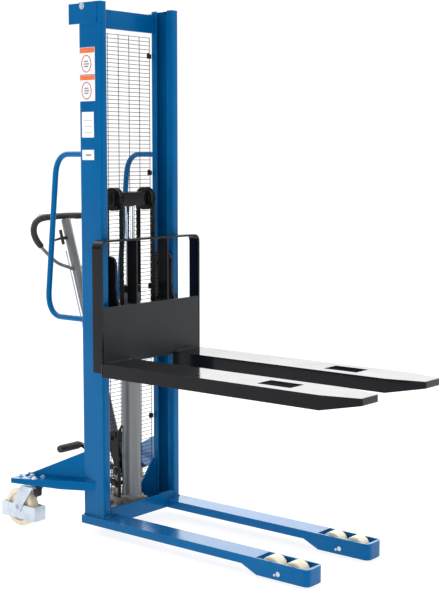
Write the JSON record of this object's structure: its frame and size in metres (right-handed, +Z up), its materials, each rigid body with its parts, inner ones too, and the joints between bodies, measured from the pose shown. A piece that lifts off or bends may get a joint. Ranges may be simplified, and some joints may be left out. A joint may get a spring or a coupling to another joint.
{
  "type": "walkie stacker",
  "caption": "Manual straddle-leg walkie stacker: fixed lipped-channel mast, chain-lifted fork carriage, hand-pumped cylinder, pump tiller, swivel casters and tandem load rollers.",
  "frame": {"origin": "on the floor, below the centre of the outer box", "axes": "+X along the forks, +Y to the operator's left, +Z up"},
  "size_m": [1.6054, 0.7352, 1.98],
  "materials": {
    "blue_paint": "semi-gloss enamel with light edge wear",
    "black_paint": "satin black enamel",
    "grey_paint": "satin silver-grey enamel",
    "zinc": "bright zinc plate",
    "chrome": "polished hard chrome",
    "dark_steel": "oiled dark steel",
    "nylon": "cream cast nylon",
    "rubber": "black moulded rubber"
  },
  "bodies": {
    "mast": {"right_upright": "blue_paint", "left_upright": "blue_paint", "top_crossbeam": "blue_paint", "mid_crossbeam": "blue_paint", "base_front_plate": "blue_paint", "base_floor_plate": "blue_paint", "right_leg": "blue_paint", "left_leg": "blue_paint", "right_outrigger": "blue_paint", "left_outrigger": "blue_paint", "right_push_handle": "blue_paint", "left_push_handle": "blue_paint", "guard_mesh": "dark_steel", "lift_cylinder": "grey_paint", "cylinder_gland": "dark_steel", "pump_body": "grey_paint", "tiller_pin": "dark_steel", "pump_spring": "dark_steel", "right_chain_rear": "dark_steel", "left_chain_rear": "dark_steel"},
    "ram": {"ram_rod": "chrome", "crosshead": "black_paint", "right_chain_wrap": "dark_steel", "left_chain_wrap": "dark_steel", "right_chain_front": "dark_steel", "left_chain_front": "dark_steel"},
    "carriage": {"carriage_plate": "black_paint", "backrest": "black_paint", "carriage_tie": "black_paint", "right_side_plate": "black_paint", "left_side_plate": "black_paint", "right_fork": "black_paint", "left_fork": "black_paint"},
    "tiller": {"tiller_casting": "black_paint", "tiller_tube": "grey_paint", "handle_grip": "rubber", "release_rod": "zinc"},
    "lever": {"lowering_lever": "rubber"},
    "piston": {"pump_piston": "chrome"},
    "pedal": {"pedal_arm": "dark_steel", "pedal_grip": "rubber"},
    "right_chain_roller_body": {"right_chain_roller": "dark_steel"},
    "right_mast_roller_upper_body": {"right_mast_roller_upper": "dark_steel"},
    "right_mast_roller_lower_body": {"right_mast_roller_lower": "dark_steel"},
    "left_chain_roller_body": {"left_chain_roller": "dark_steel"},
    "left_mast_roller_upper_body": {"left_mast_roller_upper": "dark_steel"},
    "left_mast_roller_lower_body": {"left_mast_roller_lower": "dark_steel"},
    "right_caster": {"right_caster_fork": "zinc", "right_toe_guard": "zinc"},
    "right_wheel": {"right_caster_wheel": "nylon"},
    "right_bogie_body": {"right_bogie": "dark_steel"},
    "right_load_roller_rear_body": {"right_load_roller_rear": "nylon"},
    "right_load_roller_front_body": {"right_load_roller_front": "nylon"},
    "left_caster": {"left_caster_fork": "zinc", "left_toe_guard": "zinc"},
    "left_wheel": {"left_caster_wheel": "nylon"},
    "left_bogie_body": {"left_bogie": "dark_steel"},
    "left_load_roller_rear_body": {"left_load_roller_rear": "nylon"},
    "left_load_roller_front_body": {"left_load_roller_front": "nylon"}
  },
  "joints": [
    {"name": "ram_lift", "type": "slide", "parent": "mast", "child": "ram", "axis": [0, 0, 1], "range_m": [-0.2905, 0.4645], "deforming": ["right_chain_rear", "left_chain_rear"]},
    {"name": "carriage_lift", "type": "slide", "parent": "ram", "child": "carriage", "axis": [0, 0, 1], "range_m": [-0.2905, 0.4645], "deforming": ["right_chain_front", "left_chain_front"]},
    {"name": "right_chain_roller_spin", "type": "hinge", "parent": "ram", "child": "right_chain_roller_body", "pos_m": [-0.41375, -0.087, 1.262], "axis": [0, -1, 0], "range_deg": [-445, 710]},
    {"name": "right_mast_roller_upper_spin", "type": "hinge", "parent": "carriage", "child": "right_mast_roller_upper_body", "pos_m": [-0.40825, -0.195, 0.995], "axis": [0, 1, 0], "continuous": true},
    {"name": "right_mast_roller_lower_spin", "type": "hinge", "parent": "carriage", "child": "right_mast_roller_lower_body", "pos_m": [-0.40825, -0.195, 0.745], "axis": [0, 1, 0], "continuous": true},
    {"name": "left_chain_roller_spin", "type": "hinge", "parent": "ram", "child": "left_chain_roller_body", "pos_m": [-0.41375, 0.087, 1.262], "axis": [0, -1, 0], "range_deg": [-445, 710]},
    {"name": "left_mast_roller_upper_spin", "type": "hinge", "parent": "carriage", "child": "left_mast_roller_upper_body", "pos_m": [-0.40825, 0.195, 0.995], "axis": [0, 1, 0], "continuous": true},
    {"name": "left_mast_roller_lower_spin", "type": "hinge", "parent": "carriage", "child": "left_mast_roller_lower_body", "pos_m": [-0.40825, 0.195, 0.745], "axis": [0, 1, 0], "continuous": true},
    {"name": "tiller_pump", "type": "hinge", "parent": "mast", "child": "tiller", "pos_m": [-0.46675, 0, 0.2], "axis": [0, -1, 0], "range_deg": [0, 42], "stiffness_Nm_per_rad": 60, "springref_deg": -22.92},
    {"name": "lever_pull", "type": "hinge", "parent": "tiller", "child": "lever", "pos_m": [-0.74374, 0, 1.10036], "axis": [0, -1, 0], "range_deg": [0, 15], "stiffness_Nm_per_rad": 1.5, "springref_deg": -11.46},
    {"name": "pump_stroke", "type": "slide", "parent": "mast", "child": "piston", "axis": [0, 0, -1], "range_m": [0, 0.0285], "deforming": ["pump_spring"]},
    {"name": "pedal_press", "type": "hinge", "parent": "mast", "child": "pedal", "pos_m": [-0.46075, 0, 0.15], "axis": [0, -1, 0], "range_deg": [0, 25], "stiffness_Nm_per_rad": 25, "springref_deg": -20.05},
    {"name": "right_caster_swivel", "type": "hinge", "parent": "mast", "child": "right_caster", "pos_m": [-0.65375, -0.3, 0.18], "axis": [0, 0, 1], "continuous": true},
    {"name": "right_wheel_spin", "type": "hinge", "parent": "right_caster", "child": "right_wheel", "pos_m": [-0.71375, -0.3, 0.075], "axis": [0, 1, 0], "continuous": true},
    {"name": "right_bogie_tilt", "type": "hinge", "parent": "mast", "child": "right_bogie_body", "pos_m": [0.46825, -0.1825, 0.032], "axis": [0, 1, 0], "range_deg": [-6, 6]},
    {"name": "right_load_roller_rear_spin", "type": "hinge", "parent": "right_bogie_body", "child": "right_load_roller_rear_body", "pos_m": [0.42075, -0.1825, 0.039], "axis": [0, 1, 0], "continuous": true},
    {"name": "right_load_roller_front_spin", "type": "hinge", "parent": "right_bogie_body", "child": "right_load_roller_front_body", "pos_m": [0.51575, -0.1825, 0.039], "axis": [0, 1, 0], "continuous": true},
    {"name": "left_caster_swivel", "type": "hinge", "parent": "mast", "child": "left_caster", "pos_m": [-0.65375, 0.3, 0.18], "axis": [0, 0, 1], "continuous": true},
    {"name": "left_wheel_spin", "type": "hinge", "parent": "left_caster", "child": "left_wheel", "pos_m": [-0.71375, 0.3, 0.075], "axis": [0, 1, 0], "continuous": true},
    {"name": "left_bogie_tilt", "type": "hinge", "parent": "mast", "child": "left_bogie_body", "pos_m": [0.46825, 0.1825, 0.032], "axis": [0, 1, 0], "range_deg": [-6, 6]},
    {"name": "left_load_roller_rear_spin", "type": "hinge", "parent": "left_bogie_body", "child": "left_load_roller_rear_body", "pos_m": [0.42075, 0.1825, 0.039], "axis": [0, 1, 0], "continuous": true},
    {"name": "left_load_roller_front_spin", "type": "hinge", "parent": "left_bogie_body", "child": "left_load_roller_front_body", "pos_m": [0.51575, 0.1825, 0.039], "axis": [0, 1, 0], "continuous": true}
  ],
  "couplings": [
    {"joint": "carriage_lift", "follows": "ram_lift", "ratio": 1},
    {"joint": "right_chain_roller_spin", "follows": "ram_lift", "rad_per_m": 26.316},
    {"joint": "left_chain_roller_spin", "follows": "ram_lift", "rad_per_m": 26.316},
    {"joint": "pump_stroke", "follows": "tiller_pump", "m_per_rad": 0.0376}
  ]
}
